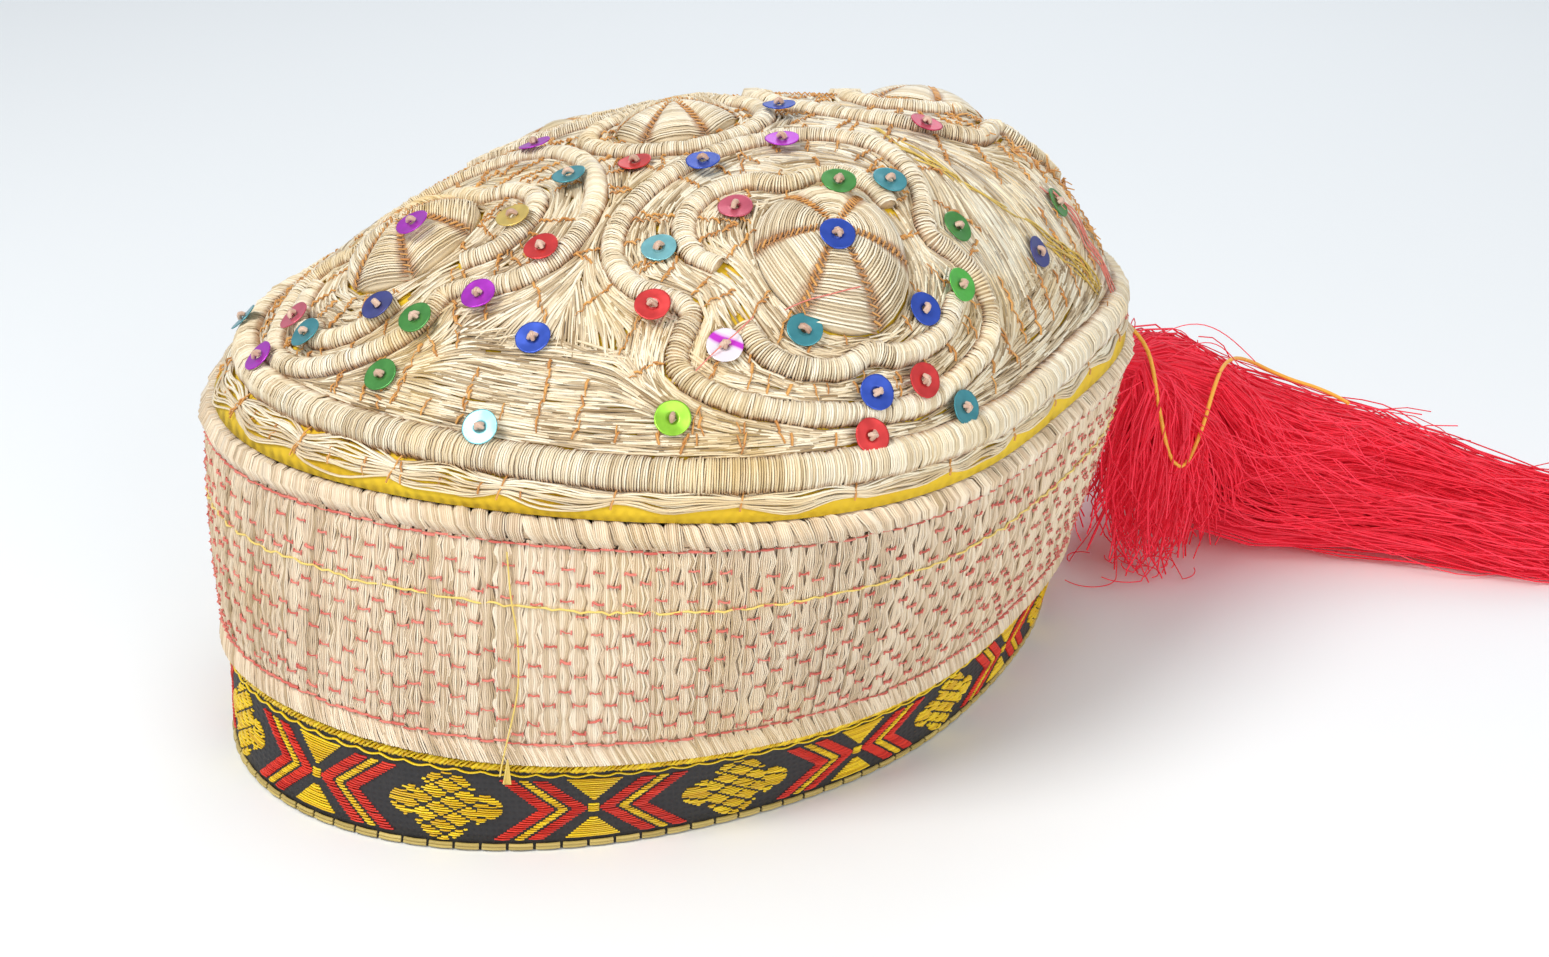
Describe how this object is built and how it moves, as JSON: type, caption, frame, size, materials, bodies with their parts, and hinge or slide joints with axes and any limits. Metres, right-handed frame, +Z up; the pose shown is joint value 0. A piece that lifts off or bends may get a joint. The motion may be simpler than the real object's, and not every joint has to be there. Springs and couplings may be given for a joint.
{
  "type": "embroidered skullcap",
  "caption": "Oval embroidered skullcap with a domed crown of raised cord medallions, a straight quilted band, a patterned hem ribbon and a red floss tassel.",
  "frame": {"origin": "centre of the head opening, on the plane of the hem ribbon's lower edge, which is the surface the cap rests on", "axes": "+Z up out of the crown, +X towards the tassel's free end, -Y towards the side that faced the camera"},
  "size_m": [0.3185, 0.1995, 0.1238],
  "materials": {
    "crown_floss": "satin",
    "band_floss": "satin",
    "cord_floss": "satin",
    "ribbon": "matte",
    "tassel_floss": "matte",
    "sequin_blue": "metallic",
    "sequin_cyan": "metallic",
    "sequin_gold": "metallic",
    "sequin_green": "metallic",
    "sequin_lime": "metallic",
    "sequin_magenta": "metallic",
    "sequin_navy": "metallic",
    "sequin_pink": "metallic",
    "sequin_red": "metallic",
    "sequin_teal": "metallic"
  },
  "bodies": {
    "root": {"crown": "crown_floss", "side_band": "band_floss", "band_top_roll": "band_floss", "hem_ribbon": "ribbon", "crown_edge_cord": "cord_floss", "centre_ring_cord": "cord_floss", "centre_boss": "cord_floss", "outer_cord_front_right": "cord_floss", "inner_cord_upper_front_right": "cord_floss", "inner_cord_lower_front_right": "cord_floss", "boss_front_right": "cord_floss", "outer_cord_back_right": "cord_floss", "inner_cord_upper_back_right": "cord_floss", "inner_cord_lower_back_right": "cord_floss", "boss_back_right": "cord_floss", "outer_cord_back_left": "cord_floss", "inner_cord_upper_back_left": "cord_floss", "inner_cord_lower_back_left": "cord_floss", "boss_back_left": "cord_floss", "outer_cord_front_left": "cord_floss", "inner_cord_upper_front_left": "cord_floss", "inner_cord_lower_front_left": "cord_floss", "boss_front_left": "cord_floss", "sequin_01": "sequin_blue", "sequin_02": "sequin_magenta", "sequin_03": "sequin_pink", "sequin_04": "sequin_green", "sequin_05": "sequin_blue", "sequin_06": "sequin_teal", "sequin_07": "sequin_blue", "sequin_08": "sequin_magenta", "sequin_09": "sequin_teal", "sequin_10": "sequin_cyan", "sequin_11": "sequin_green", "sequin_12": "sequin_pink", "sequin_13": "sequin_blue", "sequin_14": "sequin_red", "sequin_15": "sequin_teal", "sequin_16": "sequin_red", "sequin_17": "sequin_green", "sequin_18": "sequin_red", "sequin_19": "sequin_lime", "sequin_20": "sequin_red", "sequin_21": "sequin_teal", "sequin_22": "sequin_magenta", "sequin_23": "sequin_blue", "sequin_24": "sequin_red", "sequin_25": "sequin_navy", "sequin_26": "sequin_green", "sequin_27": "sequin_gold", "sequin_28": "sequin_red", "sequin_29": "sequin_magenta", "sequin_30": "sequin_blue", "sequin_31": "sequin_cyan", "sequin_32": "sequin_green", "sequin_33": "sequin_green", "sequin_34": "sequin_navy", "sequin_35": "sequin_teal", "sequin_36": "sequin_pink", "tassel": "tassel_floss"}
  },
  "joints": []
}
